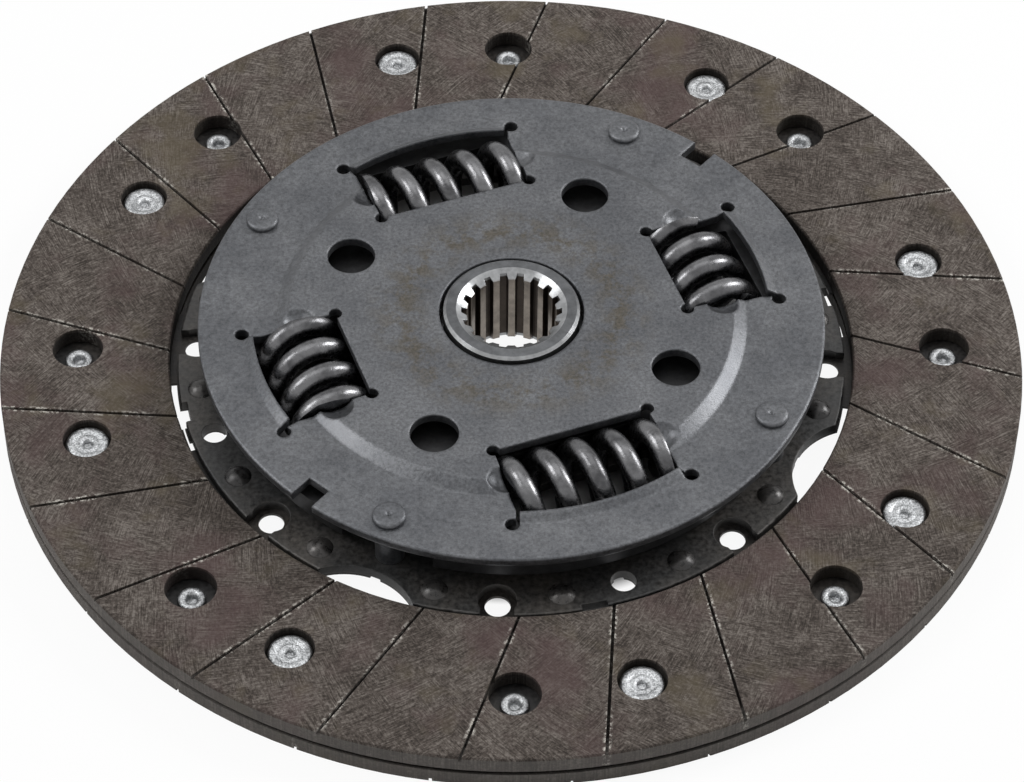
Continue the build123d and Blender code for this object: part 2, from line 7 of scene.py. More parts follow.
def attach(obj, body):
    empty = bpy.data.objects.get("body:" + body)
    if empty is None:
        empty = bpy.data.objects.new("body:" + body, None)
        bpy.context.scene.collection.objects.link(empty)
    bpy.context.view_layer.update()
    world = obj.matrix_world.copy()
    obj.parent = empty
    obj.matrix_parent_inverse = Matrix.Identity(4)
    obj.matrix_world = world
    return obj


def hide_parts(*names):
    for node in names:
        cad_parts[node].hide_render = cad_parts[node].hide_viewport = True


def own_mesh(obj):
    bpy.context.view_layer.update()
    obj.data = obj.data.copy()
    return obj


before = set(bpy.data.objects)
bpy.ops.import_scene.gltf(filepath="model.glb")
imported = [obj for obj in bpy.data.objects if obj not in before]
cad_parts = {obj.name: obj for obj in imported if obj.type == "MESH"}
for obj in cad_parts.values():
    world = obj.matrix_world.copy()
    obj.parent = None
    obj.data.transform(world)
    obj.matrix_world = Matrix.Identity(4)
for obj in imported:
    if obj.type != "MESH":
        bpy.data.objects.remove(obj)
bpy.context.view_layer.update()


# Friction facings: two rings of fibre yarn and resin, wound, pressed and ground flat.
# Slanted straight grooves are cut into each friction face, and each ring is held by
# eight tubular rivets that sit in seats below the face.

mm = 0.001
lining_dark = (0.030, 0.024, 0.020, 1)
lining_brown = (0.082, 0.068, 0.059, 1)
lining_pale = (0.190, 0.168, 0.150, 1)
lining_red = (0.082, 0.052, 0.051, 1)
lining_tan = (0.100, 0.082, 0.054, 1)
lining_fray_and_highlight = (0.56, 0.53, 0.48, 1)
lining_rim_lit_grey = (0.150, 0.142, 0.134, 1)
facing_face_z = 3.5 * mm
facing_outer_r = 100 * mm
front_back_z = 4.5 * mm
rear_back_z = 3.5 * mm
rear_facing_turn = radians(17.53)
yarn_reference_r = 80 * mm
yarns_round = 260
yarn_length = 2.2 * mm
rising_yarn_slope = 1.15
falling_yarn_slope = -1.0
log_base = 2.718
cut_wall_dust_and_shade = 0.22
cut_wall_depth = 0.9 * mm
fray_highlight_inner_edge = 0.45 * mm
fray_highlight_outer_edge = 0.95 * mm
groove_centre = Vector((-0.4 * mm, 1.4 * mm, 0))
groove_offset = 23.2 * mm
groove_pitch = radians(15)
groove_angle = radians(-2.9)


def new_material(name, roughness, metallic, specular=0.5):
    """A material with its shader's even values set on the shader's own sockets."""
    material = bpy.data.materials.new(name)
    material.use_nodes = True
    shader = material.node_tree.nodes["Principled BSDF"]
    shader.inputs["Roughness"].default_value = roughness
    shader.inputs["Metallic"].default_value = metallic
    shader.inputs["Specular IOR Level"].default_value = specular
    return material, shader


def put(material, kind, sockets=None, **settings):
    """Adds a node, sets it up, and fills or links its input sockets."""
    node = material.node_tree.nodes.new(kind)
    for key, value in settings.items():
        setattr(node, key, value)
    for key, value in (sockets or {}).items():
        if isinstance(value, bpy.types.NodeSocket):
            material.node_tree.links.new(value, node.inputs[key])
        else:
            node.inputs[key].default_value = value
    return node


def math(material, operation, first, second=0.0, clamp=False):
    """One step of arithmetic between sockets or numbers."""
    node = put(material, "ShaderNodeMath", {0: first, 1: second}, operation=operation, use_clamp=clamp)
    return node.outputs[0]


def blend_colour(material, share, first, second):
    """Mixes two colours by a share."""
    node = put(material, "ShaderNodeMix", {0: share, 6: first, 7: second}, data_type="RGBA")
    return node.outputs[2]


def shaded(material, colour, shade):
    """Makes a colour lighter or darker by a factor."""
    sockets = {0: 1.0, 6: colour, 7: shade}
    node = put(material, "ShaderNodeMix", sockets, data_type="RGBA", blend_type="MULTIPLY")
    return node.outputs[2]


def between(material, value, low, high, start=0.0, end=1.0):
    """Maps a stretch of values onto another, held at its ends."""
    sockets = {"Value": value, "From Min": low, "From Max": high, "To Min": start, "To Max": end}
    return put(material, "ShaderNodeMapRange", sockets).outputs[0]


def noise(material, vector, scale, detail=2.0, roughness=0.5):
    """Even three-dimensional noise from 0 to 1."""
    sockets = {"Vector": vector, "Scale": scale, "Detail": detail, "Roughness": roughness}
    return put(material, "ShaderNodeTexNoise", sockets).outputs["Fac"]


def surface(material, shader, colour, height, distance, strength, edge_r):
    """Gives the shader its colour, its relief, and edges that look rounded by a radius."""
    material.node_tree.links.new(colour, shader.inputs["Base Color"])
    edges = put(material, "ShaderNodeBevel", {"Radius": edge_r}, samples=6)
    sockets = {"Height": height, "Distance": distance, "Strength": strength, "Normal": edges.outputs[0]}
    node = put(material, "ShaderNodeBump", sockets)
    material.node_tree.links.new(node.outputs[0], shader.inputs["Normal"])


def radius_and_angle(material, place):
    """Distance of a place from the Z axis, and its angle round it."""
    axes = put(material, "ShaderNodeSeparateXYZ", {0: place})
    squares = [math(material, "POWER", math(material, "ABSOLUTE", axes.outputs[k]), 2.0) for k in (0, 1)]
    radius = math(material, "SQRT", math(material, "ADD", *squares))
    angle = math(material, "ARCTAN2", axes.outputs[1], axes.outputs[0])
    return radius, angle, axes.outputs[2]


def yarn_pattern(material, radius, angle, slope):
    """Noise drawn out along spirals of one slope, as the wound yarn runs."""
    growth = math(material, "LOGARITHM", math(material, "DIVIDE", radius, yarn_reference_r), log_base)
    turned = math(material, "ADD", angle, math(material, "MULTIPLY", growth, slope))
    sockets = {
        0: math(material, "MULTIPLY", math(material, "COSINE", turned), yarns_round),
        1: math(material, "MULTIPLY", math(material, "SINE", turned), yarns_round),
        2: math(material, "DIVIDE", radius, yarn_length),
    }
    spiral = put(material, "ShaderNodeCombineXYZ", sockets).outputs[0]
    return noise(material, spiral, 1.0, 3.0, 0.6)


def groove_distance(material, radius, angle):
    """Distance from the nearest groove's centre line, which passes groove_offset from its centre."""
    lean = math(material, "ARCSINE", math(material, "DIVIDE", groove_offset, radius))
    phase = math(material, "SUBTRACT", math(material, "SUBTRACT", angle, groove_angle - 4 * pi), lean)
    wave = math(material, "PINGPONG", phase, groove_pitch / 2)
    return math(material, "MULTIPLY", wave, radius)


def lining_material(name, turn, centre):
    """Wound friction lining. Turn and centre bring a place to the ring's own lie, face up."""
    material, shader = new_material(name, 0.9, 0.0, 0.25)
    place = put(material, "ShaderNodeTexCoord").outputs["Object"]
    lie = {"Vector": place, "Rotation": turn, "Location": centre}
    place = put(material, "ShaderNodeMapping", lie).outputs[0]
    radius, angle, height = radius_and_angle(material, place)
    rising = yarn_pattern(material, radius, angle, rising_yarn_slope)
    falling = yarn_pattern(material, radius, angle, falling_yarn_slope)
    crossing = between(material, noise(material, place, 150, 2.0, 0.6), 0.42, 0.58)
    yarn = put(material, "ShaderNodeMix", {0: crossing, 2: rising, 3: falling}).outputs[0]
    grain = noise(material, place, 1900, 2.0, 0.7)
    mottle = noise(material, place, 120, 4.0, 0.7)
    fine = math(material, "MULTIPLY", math(material, "SUBTRACT", grain, 0.5), 0.75)
    broad = math(material, "MULTIPLY", math(material, "SUBTRACT", mottle, 0.5), 0.5)
    tone = math(material, "ADD", math(material, "ADD", fine, yarn), broad)
    ramp = put(material, "ShaderNodeValToRGB", {0: tone})
    ramp.color_ramp.elements[0].position = 0.30
    ramp.color_ramp.elements[0].color = lining_dark
    ramp.color_ramp.elements[1].position = 0.74
    ramp.color_ramp.elements[1].color = lining_pale
    ramp.color_ramp.elements.new(0.50).color = lining_brown
    red_share = between(material, noise(material, place, 46, 3.0, 0.62), 0.50, 0.66, 0.0, 0.6)
    tan_share = between(material, noise(material, place, 63, 3.0, 0.62), 0.54, 0.68, 0.0, 0.6)
    tinted = blend_colour(material, red_share, ramp.outputs[0], lining_red)
    tinted = blend_colour(material, tan_share, tinted, lining_tan)
    # Pale along the grooves' edges, in some stretches more than in others: loose fibres, with painted
    # highlight where the groove walls catch the side lamps
    distance = groove_distance(material, radius, angle)
    near = between(material, distance, fray_highlight_inner_edge, fray_highlight_outer_edge, 1.0, 0.0)
    tufts = between(material, noise(material, place, 1300, 3.0, 0.7), 0.50, 0.60)
    stretches = between(material, noise(material, place, 90, 2.0), 0.42, 0.58, 0.0, 1.0)
    fray_and_highlight = math(material, "MULTIPLY", math(material, "MULTIPLY", near, tufts), stretches)
    # Loose fibres and painted highlight together lighten the groove edges
    tinted = blend_colour(material, fray_and_highlight, tinted, lining_fray_and_highlight)
    # Cut walls below the face darken with depth, painted shade with some resin and dust in it, and the
    # outer rim's wall is painted a lighter grey for the side lamps' and floor's light on it
    wall_start = facing_face_z - 0.1 * mm
    # Painted shade, partly resin and dust: the deeper a cut wall lies below the face, the darker it is
    sunk_dust_and_shade = between(material, height, facing_face_z - cut_wall_depth, wall_start, cut_wall_dust_and_shade, 1.0)
    at_rim = between(material, radius, facing_outer_r - 2.0 * mm, facing_outer_r - 1.6 * mm)
    shade = math(material, "MAXIMUM", sunk_dust_and_shade, at_rim)
    tinted = shaded(material, tinted, shade)
    # Painted light: the rim's wall below the face takes a lighter grey, standing in for the side lamps'
    # and floor's light on it
    rim_lit_share = between(material, height, facing_face_z - 0.45 * mm, facing_face_z - 0.35 * mm, 0.55, 0.0)
    tinted = blend_colour(material, math(material, "MULTIPLY", rim_lit_share, at_rim), tinted, lining_rim_lit_grey)
    surface(material, shader, tinted, tone, 0.14 * mm, 0.9, 0.12 * mm)
    return material


def dressed(node, material):
    """Gives a CAD node, shaped as it is, its material."""
    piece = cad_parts[node]
    piece.data.materials.clear()
    piece.data.materials.append(material)


front_centre = -groove_centre - Vector((0, 0, front_back_z))
rear_centre = -groove_centre + Vector((0, 0, rear_back_z))
linings = (
    ("front_facing", "front friction lining", (0, 0, 0), front_centre),
    ("rear_facing", "rear friction lining", (pi, 0, rear_facing_turn), rear_centre),
)
for node, lining_name, turn, centre in linings:
    dressed(node, lining_material(lining_name, turn, centre))


# Facing rivets: sixteen tubular rivets of zinc-plated steel, eight to each facing.
# Each head lies in a seat below the friction face, and the tail is rolled over against
# the waved cushion segment, at the bottom of the other facing's access hole.

rivet_silver = (0.50, 0.51, 0.52, 1)
rivet_grey = (0.20, 0.205, 0.21, 1)
rivet_circle_r = 85 * mm
rivet_count = 8
front_rivet_angle = radians(16.73)
rivet_sides = 40
# Each rivet was driven with its own turn about itself, in radians
rivet_spins = (0.0, 1.1, 2.7, 0.4, 3.6, 1.9, 5.2, 4.3)
# Rivet outline as (radius, height over the facing's back) in millimetres, from the head's hole outwards
rivet_outline = [
    (0.70, 1.15),
    (0.82, 1.55),
    (1.02, 1.86),
    (1.35, 2.06),
    (1.75, 2.12),
    (2.1, 2.02),
    (2.35, 2.0),
    (2.65, 2.14),
    (3.05, 2.24),
    (3.55, 2.24),
    (3.92, 2.13),
    (4.14, 1.9),
    (4.2, 1.62),
    (4.14, 1.38),
    (4.0, 1.35),
    (2.4, 1.35),
    (2.4, -0.6),
    (2.6, -0.62),
    (2.74, -0.85),
    (2.72, -1.15),
    (2.5, -1.42),
    (2.1, -1.55),
    (1.65, -1.5),
    (1.3, -1.28),
    (1.05, -0.95),
    (0.9, -0.5),
    (0.85, -0.1),
]


def turned_piece(name, outline, sides):
    """A piece turned about the Z axis: a disc whose rim is drawn along (radius, height) points."""
    bpy.ops.object.select_all(action="DESELECT")
    radius, height = outline[0]
    start = (0, 0, height * mm)
    bpy.ops.mesh.primitive_circle_add(
        vertices=sides, radius=radius * mm, fill_type="TRIFAN", location=start
    )
    piece = bpy.context.object
    piece.name = name
    bpy.ops.object.transform_apply(location=True)
    bpy.ops.object.mode_set(mode="EDIT")
    bpy.ops.mesh.select_all(action="SELECT")
    bpy.ops.mesh.region_to_loop()
    for next_radius, next_height in outline[1:]:
        rise = {"value": (0, 0, (next_height - height) * mm)}
        bpy.ops.mesh.extrude_region_move(TRANSFORM_OT_translate=rise)
        widening = next_radius / radius
        centre = (0, 0, next_height * mm)
        bpy.ops.transform.resize(value=(widening, widening, 1), center_override=centre)
        radius, height = next_radius, next_height
    bpy.ops.mesh.edge_face_add()
    bpy.ops.mesh.select_all(action="SELECT")
    bpy.ops.mesh.normals_make_consistent(inside=False)
    bpy.ops.object.mode_set(mode="OBJECT")
    bpy.ops.object.shade_smooth_by_angle(angle=radians(45))
    return piece


def copies_at(pattern, places, name):
    """Copies of a pattern piece at a list of placements, joined as one object of loose pieces."""
    bpy.ops.object.select_all(action="DESELECT")
    copies = []
    for place in places:
        copy = bpy.data.objects.new(name, pattern.data.copy())
        bpy.context.scene.collection.objects.link(copy)
        copy.data.transform(place)
        copy.select_set(True)
        copies.append(copy)
    bpy.context.view_layer.objects.active = copies[0]
    bpy.ops.object.join()
    return copies[0]


def around(count, radius, first_angle, spins=(0.0,)):
    """Placements on a circle round the disc's axis, each with its own spin about itself."""
    places = []
    for k in range(count):
        turn = Matrix.Rotation(first_angle + 2 * pi * k / count, 4, "Z")
        spin = Matrix.Rotation(spins[k % len(spins)], 4, "Z")
        places.append(turn @ Matrix.Translation((radius, 0, 0)) @ spin)
    return places


def zinc_material(name, silver, grey):
    """Bright zinc plate, hammered uneven by riveting and speckled with dust."""
    material, shader = new_material(name, 0.34, 0.9)
    place = put(material, "ShaderNodeTexCoord").outputs["Object"]
    dents = noise(material, place, 950, 3.0, 0.7)
    speckle = noise(material, place, 3200, 2.0, 0.7)
    dull = between(material, speckle, 0.42, 0.60)
    colour = blend_colour(material, dull, silver, grey)
    clouding = between(material, noise(material, place, 420, 2.0), 0.35, 0.65, 0.8, 1.15)
    colour = shaded(material, colour, clouding)
    gloss = between(material, dents, 0.3, 0.7, 0.28, 0.5)
    material.node_tree.links.new(gloss, shader.inputs["Roughness"])
    surface(material, shader, colour, math(material, "ADD", dents, speckle), 0.16 * mm, 0.8, 0.08 * mm)
    return material


facing_rivet = turned_piece("facing_rivet", rivet_outline, rivet_sides)
front_turn = around(rivet_count, rivet_circle_r, front_rivet_angle, rivet_spins)
front_places = [Matrix.Translation((0, 0, front_back_z)) @ place for place in front_turn]
turned_over = Matrix.Rotation(rear_facing_turn, 4, "Z") @ Matrix.Rotation(pi, 4, "X")
rear_places = [Matrix.Translation((0, 0, rear_back_z)) @ turned_over @ place for place in front_turn]
rivet_zinc = zinc_material("zinc-plated rivets", rivet_silver, rivet_grey)
for node, places in (("front_facing_rivets", front_places), ("rear_facing_rivets", rear_places)):
    rivets = copies_at(facing_rivet, places, node + "_rolled")
    rivets.data.materials.append(rivet_zinc)
    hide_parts(node)
    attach(rivets, "driven_plate")
bpy.data.objects.remove(facing_rivet)


# Cushion segments: eight blades of waved spring steel, 0.6 mm thick, between the facings.
# They are stamped, blued by hardening, and riveted by their feet under the drive plate.

segment_blue_black = (0.026, 0.025, 0.025, 1)
segment_brown = (0.050, 0.043, 0.037, 1)
segment_gloss = 0.45
segment_grain = 1400
segment_edge_r = 0.1 * mm
segment_count = 8


def dark_sheet_material(name, dark, brown, roughness, scale, edge_r):
    """Dark phosphated or blued sheet steel with brown bloom and a dusty grain."""
    material, shader = new_material(name, roughness, 0.4, 0.4)
    place = put(material, "ShaderNodeTexCoord").outputs["Object"]
    bloom = between(material, noise(material, place, 60, 4.0, 0.6), 0.42, 0.68)
    colour = blend_colour(material, bloom, dark, brown)
    grain = noise(material, place, scale, 3.0, 0.6)
    colour = shaded(material, colour, between(material, grain, 0.3, 0.7, 0.55, 1.45))
    gloss = between(material, grain, 0.3, 0.7, roughness - 0.1, roughness + 0.15)
    material.node_tree.links.new(gloss, shader.inputs["Roughness"])
    surface(material, shader, colour, grain, 0.06 * mm, 0.6, edge_r)
    return material


segment_steel = dark_sheet_material(
    "blued segment steel", segment_blue_black, segment_brown, segment_gloss, segment_grain, segment_edge_r
)
for number in range(1, segment_count + 1):
    dressed(f"cushion_segment_{number}", segment_steel)


# Drive plate: the rear half of the spring cage, pressed from 2 mm sheet and phosphated.
# Its rim carries the segments, with a scallop over each foot's hole and wide lenses.

plate_black = (0.040, 0.040, 0.040, 1)
plate_brown = (0.068, 0.062, 0.056, 1)
plate_gloss = 0.45
plate_grain = 1100
plate_edge_r = 0.25 * mm
drive_plate_steel = dark_sheet_material(
    "phosphated drive plate", plate_black, plate_brown, plate_gloss, plate_grain, plate_edge_r
)
dressed("drive_plate", drive_plate_steel)


# Segment rivets: sixteen small solid steel rivets with domed heads, two to each foot.
# They are set cold, so the heads carry a little burnish on the crown.

dark_rivet_black = (0.030, 0.029, 0.029, 1)
dark_rivet_worn = (0.075, 0.070, 0.066, 1)
segment_rivet_r = 61.2 * mm
segment_rivet_angle = radians(31.75)
segment_rivet_count = 16
foot_top_z = 4.3 * mm
dome_sides = 28
dome_gloss = 0.3
dome_grain = 900
dome_edge_r = 0.08 * mm
# Outline over the foot's top in millimetres: plate 2 thick, foot 0.6 thick below it
dome_outline = [
    (0.6, 3.17),
    (1.15, 3.03),
    (1.65, 2.8),
    (2.05, 2.5),
    (2.35, 2.24),
    (2.56, 2.06),
    (2.6, 2.0),
    (1.5, 2.0),
    (1.5, -0.6),
    (2.5, -0.6),
    (2.6, -0.78),
    (2.55, -1.2),
    (2.3, -1.42),
    (1.8, -1.5),
]
dome_rivet = turned_piece("dome_rivet", dome_outline, dome_sides)
dome_places = around(segment_rivet_count, segment_rivet_r, segment_rivet_angle)
dome_places = [Matrix.Translation((0, 0, foot_top_z)) @ place for place in dome_places]
segment_rivets = copies_at(dome_rivet, dome_places, "segment_rivets_domed")
dark_domes = dark_sheet_material(
    "dark domed rivets", dark_rivet_black, dark_rivet_worn, dome_gloss, dome_grain, dome_edge_r
)
segment_rivets.data.materials.append(dark_domes)
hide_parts("segment_rivets")
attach(segment_rivets, "driven_plate")
bpy.data.objects.remove(dome_rivet)


# Hub: forged steel with its flange in one piece, faced grey at the nose, chamfered bright with painted
# highlight on the chamfers, and broached with eighteen straight-sided teeth, with painted shade in their
# gaps. The flange stays dark from heat treatment.

hub_grey = (0.110, 0.113, 0.118, 1)
hub_bright = (0.30, 0.305, 0.31, 1)
hub_dark = (0.050, 0.050, 0.052, 1)
spline_brown = (0.092, 0.072, 0.058, 1)
spline_tip = (0.21, 0.185, 0.16, 1)
hub_outer_r = 13.3 * mm
hub_edge_chamfer = 0.6 * mm
tooth_tip_r = 8.7 * mm
tooth_gap_r = 9.8 * mm
bore_cone_r = 10.8 * mm
turning_pitch = 0.22 * mm
hub_middle_z = 9.95 * mm
broached_half_length = 8.1 * mm
teeth_fade = 0.3 * mm
tip_rub_start = 0.08 * mm
tip_rub_end = 0.2 * mm
gap_painted_shade_start = 0.4 * mm


def hub_material():
    """Grey faced steel with bright chamfers under painted highlight, brown teeth in the bore with painted
    shade in their gaps, and a dark flange.
    """
    material, shader = new_material("forged hub steel", 0.32, 0.9)
    place = put(material, "ShaderNodeTexCoord").outputs["Object"]
    radius, angle, height = radius_and_angle(material, place)
    cloud = noise(material, place, 420, 3.0, 0.65)
    on_flange = between(material, radius, hub_outer_r, hub_outer_r + 0.3 * mm)
    on_cone = between(material, radius, bore_cone_r - 0.05 * mm, bore_cone_r + 0.05 * mm, 1.0, 0.0)
    edge_start = hub_outer_r - hub_edge_chamfer
    on_edge = between(material, radius, edge_start, edge_start + 0.08 * mm)
    # The turned chamfers are bright steel, and painted highlight makes them brighter still
    bright_chamfers_and_highlight = math(material, "MAXIMUM", on_cone, on_edge)
    colour = blend_colour(material, math(material, "MULTIPLY", bright_chamfers_and_highlight, 0.9), hub_grey, hub_bright)
    # Below the lead-in cones the teeth are brown, with rubbed tips, and painted shade darkens the gaps
    # between them
    from_middle = math(material, "ABSOLUTE", math(material, "SUBTRACT", height, hub_middle_z))
    teeth_end = broached_half_length + teeth_fade
    in_bore = between(material, from_middle, broached_half_length, teeth_end, 1.0, 0.0)
    in_bore = math(material, "MULTIPLY", in_bore, on_cone)
    off_tip = between(material, radius, tooth_tip_r + tip_rub_start, tooth_tip_r + tip_rub_end)
    teeth = blend_colour(material, off_tip, spline_tip, spline_brown)
    gap_painted_shade = between(material, radius, tooth_tip_r + gap_painted_shade_start, tooth_gap_r, 1.0, 0.35)
    colour = blend_colour(material, in_bore, colour, shaded(material, teeth, gap_painted_shade))
    colour = blend_colour(material, on_flange, colour, hub_dark)
    colour = shaded(material, colour, between(material, cloud, 0.3, 0.7, 0.72, 1.25))
    gloss = between(material, on_flange, 0.0, 1.0, 0.28, 0.48)
    material.node_tree.links.new(gloss, shader.inputs["Roughness"])
    rings = math(material, "SINE", math(material, "MULTIPLY", radius, 2 * pi / turning_pitch))
    relief = math(material, "ADD", math(material, "MULTIPLY", rings, 0.3), cloud)
    surface(material, shader, colour, relief, 0.02 * mm, 0.6, 0.15 * mm)
    return material


dressed("hub", hub_material())


# Damping stack: a moulded guide bush round the hub, a friction ring under the flange,
# a friction washer on it, and a blued conical spring washer under the cover plate.

bush_black = (0.016, 0.016, 0.017, 1)
bush_grey = (0.034, 0.033, 0.031, 1)


def moulded_material():
    """Black glass-filled plastic, a little dusty."""
    material, shader = new_material("black moulded plastic", 0.55, 0.0, 0.4)
    place = put(material, "ShaderNodeTexCoord").outputs["Object"]
    dust = between(material, noise(material, place, 260, 3.0, 0.6), 0.45, 0.75)
    colour = blend_colour(material, dust, bush_black, bush_grey)
    surface(material, shader, colour, noise(material, place, 1800, 2.0), 0.03 * mm, 0.4, 0.2 * mm)
    return material


black_plastic = moulded_material()
for node in ("guide_bush", "friction_ring", "friction_washer"):
    dressed(node, black_plastic)
dressed("disc_spring", segment_steel)


# Torsion springs: two long springs and two short ones of thicker wire, right-handed,
# shot-peened, with the last turn closed and ground flat. They lie in the windows of the
# plates and the flange, drawn at rest, though they shorten as the hub twists.

spring_grey = (0.150, 0.150, 0.155, 1)
spring_dark = (0.065, 0.065, 0.068, 1)
spring_circle_r = 39.9 * mm
long_spring_angle = 110.5
short_spring_angle = 20.5
damper_mid_z = 10.65 * mm
spring_outer_r = 9.4 * mm
steps_per_turn = 32
wire_sides = 20
long_length = 31.0 * mm
long_wire = 4.2 * mm
long_pitch = 6.9 * mm
long_crest = 0.6 * mm
long_twist_keep = 0.865
short_length = 21.8 * mm
short_wire = 4.3 * mm
short_pitch = 6.6 * mm
first_short_crest = -1.5 * mm
second_short_crest = 2.7 * mm
short_twist_keep = 0.808


def wound_spring(name, length, wire, pitch, crest):
    """A coil wound step by step from the wire's section, its ends closed up and ground flat."""
    coil_r = spring_outer_r - wire / 2
    reach = length / 2 + wire / 4
    open_after = floor((reach - crest) / pitch)
    open_before = floor((reach + crest) / pitch)
    turns_after = open_after + (reach - crest - open_after * pitch) / wire
    turns_before = open_before + (reach + crest - open_before * pitch) / wire

    def advance(turns):
        """Place along the axis after some turns from the middle crest, the end turns closed."""
        if turns > open_after:
            return crest + open_after * pitch + (turns - open_after) * wire
        if turns < -open_before:
            return crest - open_before * pitch + (turns + open_before) * wire
        return crest + turns * pitch

    steps = round((turns_after + turns_before) * steps_per_turn)
    step_turn = (turns_after + turns_before) / steps
    bpy.ops.object.select_all(action="DESELECT")
    bpy.ops.mesh.primitive_circle_add(vertices=wire_sides, radius=wire / 2, fill_type="NGON")
    piece = bpy.context.object
    piece.name = name
    upright = Matrix.Translation((coil_r, 0, advance(-turns_before))) @ Matrix.Rotation(pi / 2, 4, "X")
    piece.data.transform(Matrix.Rotation(-2 * pi * turns_before, 4, "Z") @ upright)
    bpy.ops.object.mode_set(mode="EDIT")
    bpy.ops.mesh.select_all(action="SELECT")
    for k in range(steps):
        before = -turns_before + k * step_turn
        rise = {"value": (0, 0, advance(before + step_turn) - advance(before))}
        bpy.ops.mesh.extrude_region_move(TRANSFORM_OT_translate=rise)
        bpy.ops.transform.rotate(value=-2 * pi * step_turn, orient_axis="Z", center_override=(0, 0, 0))
    for end in (1, -1):
        bpy.ops.mesh.select_all(action="SELECT")
        plane = (0, 0, end * length / 2)
        bpy.ops.mesh.bisect(plane_co=plane, plane_no=(0, 0, end), use_fill=True, clear_outer=True)
    bpy.ops.mesh.select_all(action="SELECT")
    bpy.ops.mesh.normals_make_consistent(inside=False)
    bpy.ops.object.mode_set(mode="OBJECT")
    bpy.ops.object.shade_smooth_by_angle(angle=radians(40))
    return piece


def spring_material():
    """Grey shot-peened spring wire, a little darker in patches."""
    material, shader = new_material("shot-peened spring wire", 0.28, 1.0)
    place = put(material, "ShaderNodeTexCoord").outputs["Object"]
    patches = between(material, noise(material, place, 190, 3.0, 0.65), 0.40, 0.64)
    colour = blend_colour(material, patches, spring_grey, spring_dark)
    peening = noise(material, place, 1700, 3.0, 0.65)
    gloss = between(material, peening, 0.3, 0.7, 0.2, 0.38)
    material.node_tree.links.new(gloss, shader.inputs["Roughness"])
    surface(material, shader, colour, peening, 0.06 * mm, 0.6, 0.1 * mm)
    return material


spring_wire = spring_material()
long_spring = wound_spring("long_spring", long_length, long_wire, long_pitch, long_crest)
short_sizes = (short_length, short_wire, short_pitch)
first_short = wound_spring("first_short_spring", *short_sizes, first_short_crest)
second_short = wound_spring("second_short_spring", *short_sizes, second_short_crest)
spring_seats = (
    ("long_spring_1", long_spring, long_spring_angle, long_twist_keep),
    ("long_spring_2", long_spring, long_spring_angle + 180, long_twist_keep),
    ("short_spring_1", first_short, short_spring_angle, short_twist_keep),
    ("short_spring_2", second_short, short_spring_angle + 180, short_twist_keep),
)
for node, pattern, angle, keep in spring_seats:
    # The wound spring stands on Z with a crest along +X, and its seat turns that crest upwards
    up = Vector((0, 0, 1))
    outward = Vector((cos(radians(angle)), sin(radians(angle)), 0))
    along = up.cross(outward)
    centre = outward * spring_circle_r + up * damper_mid_z
    seat = Matrix((up, outward, along)).transposed().to_4x4()
    seat.translation = centre
    spring = copies_at(pattern, [seat], node + "_wound")
    spring.data.materials.append(spring_wire)
    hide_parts(node)
    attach(spring, "damper_springs")
    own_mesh(spring)
for pattern in (long_spring, first_short, second_short):
    bpy.data.objects.remove(pattern)


# Cover plate: the front half of the spring cage, pressed from 2 mm sheet and nitrided to
# a matt blue-grey. A brown ring of oil and heat lies round the hub.

cover_grey = (0.083, 0.086, 0.093, 1)
cover_pale = (0.122, 0.125, 0.132, 1)
cover_stain = (0.074, 0.064, 0.048, 1)
stain_inner_r = 15 * mm
stain_middle_r = 21 * mm
stain_outer_r = 29 * mm
cover_edge_r = 0.8 * mm


def cover_material():
    """Nitrided sheet, finely speckled, with a stained ring round the hub."""
    material, shader = new_material("nitrided cover steel", 0.4, 0.7)
    place = put(material, "ShaderNodeTexCoord").outputs["Object"]
    radius, angle, height = radius_and_angle(material, place)
    cloud = noise(material, place, 70, 5.0, 0.65)
    speckle = noise(material, place, 1500, 3.0, 0.75)
    colour = blend_colour(material, between(material, cloud, 0.38, 0.66), cover_grey, cover_pale)
    rising = between(material, radius, stain_inner_r, stain_middle_r)
    fading = between(material, radius, stain_middle_r, stain_outer_r, 1.0, 0.0)
    patches = between(material, noise(material, place, 260, 4.0, 0.72), 0.44, 0.58)
    stain = math(material, "MULTIPLY", math(material, "MULTIPLY", rising, fading), patches)
    colour = blend_colour(material, math(material, "MULTIPLY", stain, 0.85), colour, cover_stain)
    colour = shaded(material, colour, between(material, speckle, 0.3, 0.7, 0.62, 1.38))
    gloss = between(material, speckle, 0.3, 0.7, 0.30, 0.48)
    material.node_tree.links.new(gloss, shader.inputs["Roughness"])
    surface(material, shader, colour, speckle, 0.06 * mm, 0.8, cover_edge_r)
    return material


cover_steel = cover_material()
dressed("cover_plate", cover_steel)


# Stop pins: four shouldered steel pins that hold the plates apart and stop the hub's twist
# in the flange's notches. Each is riveted over flat on the cover plate, round a punch mark.

pin_circle_r = 55.7 * mm
pin_angles = (66.2, 153.1, 246.2, 333.1)
pin_low_face_z = 6.3 * mm
pin_sides = 36
